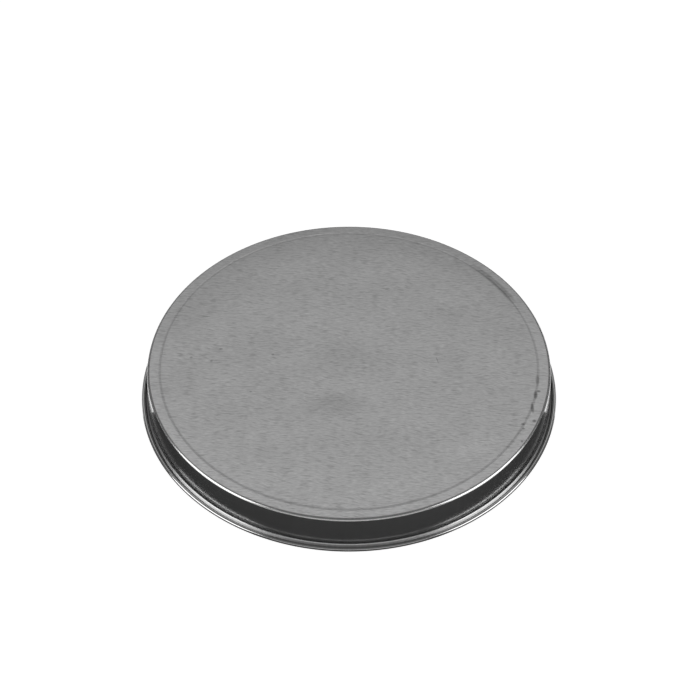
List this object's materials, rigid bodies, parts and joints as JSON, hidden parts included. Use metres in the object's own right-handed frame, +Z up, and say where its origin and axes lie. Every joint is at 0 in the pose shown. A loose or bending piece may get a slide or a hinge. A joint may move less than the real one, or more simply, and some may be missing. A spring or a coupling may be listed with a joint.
{
  "type": "candle tin",
  "caption": "Shallow round tinplate candle tin: a drawn base pan under a slip-on lid with a creased top panel, polished skirt and flared, rolled rim.",
  "frame": {"origin": "centre of the face that the tin stands on", "axes": "+Z up along the tin's axis, the way the lid lifts; the tin is round, so X and Y have no marks"},
  "size_m": [0.1, 0.1, 0.01],
  "materials": {
    "lid_tinplate": "satin rolled panel with a polished skirt and bead",
    "base_tinplate": "plain bright tinplate"
  },
  "bodies": {
    "base": {"base_pan": "base_tinplate"},
    "lid": {"lid_shell": "lid_tinplate"}
  },
  "joints": [
    {"name": "lid_lift", "type": "slide", "parent": "base", "child": "lid", "axis": [0, 0, 1], "range_m": [0, 0.03]}
  ]
}
